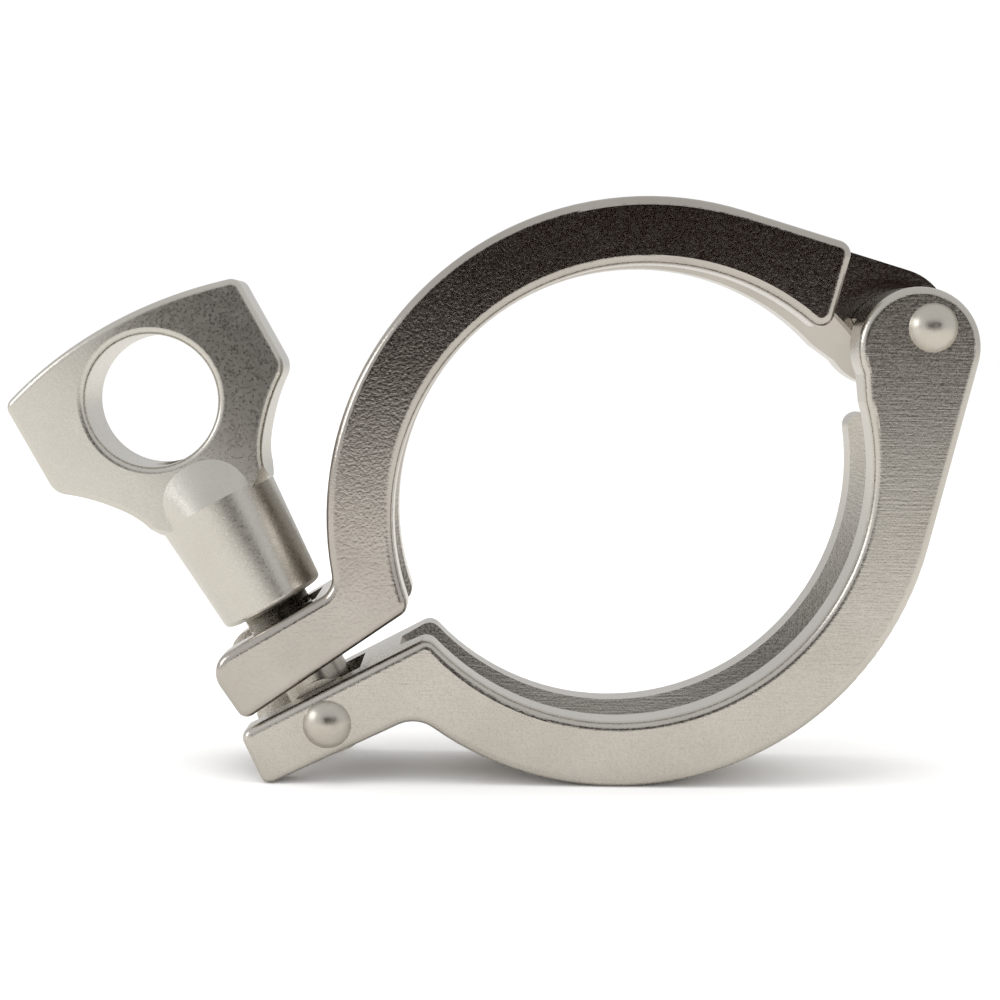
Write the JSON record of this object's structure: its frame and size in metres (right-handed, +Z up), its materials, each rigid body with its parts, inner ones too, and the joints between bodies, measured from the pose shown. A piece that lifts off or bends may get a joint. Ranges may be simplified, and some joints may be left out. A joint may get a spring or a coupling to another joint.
{
  "type": "sanitary hinged clamp",
  "caption": "Cast stainless clamp for sanitary ferrules: two grooved halves on one hinge pin, closed by a swing bolt and wing nut.",
  "frame": {"origin": "centre of the lower half's bore, midway across the clamp's width", "axes": "+Y along the bore, +Z up as the clamp stands, +X towards the hinge pin"},
  "size_m": [0.1098, 0.0201, 0.0667],
  "materials": {
    "cast_stainless": "tumbled investment casting",
    "rivet_stainless": "smooth",
    "machined_stainless": "turned"
  },
  "bodies": {
    "lower_half": {"lower_half": "cast_stainless", "hinge_pin": "rivet_stainless", "bolt_pin": "rivet_stainless"},
    "upper_half": {"upper_half": "cast_stainless"},
    "eye_bolt": {"eye_bolt": "machined_stainless"},
    "wing_nut": {"wing_nut": "cast_stainless"}
  },
  "joints": [
    {"name": "upper_half_hinge", "type": "hinge", "parent": "lower_half", "child": "upper_half", "pos_m": [0.03452, 0, 0.01658], "axis": [0, 1, 0], "range_deg": [0, 10]},
    {"name": "eye_bolt_swing", "type": "hinge", "parent": "lower_half", "child": "eye_bolt", "pos_m": [-0.03266, 0, -0.029], "axis": [0, -1, 0], "range_deg": [0, 110]},
    {"name": "wing_nut_travel", "type": "slide", "parent": "eye_bolt", "child": "wing_nut", "axis": [-0.4905, 0, 0.8714], "range_m": [0, 0.0152]}
  ],
  "couplings": [
    {"joint": "wing_nut_travel", "follows": "upper_half_hinge", "m_per_rad": 0.086}
  ]
}
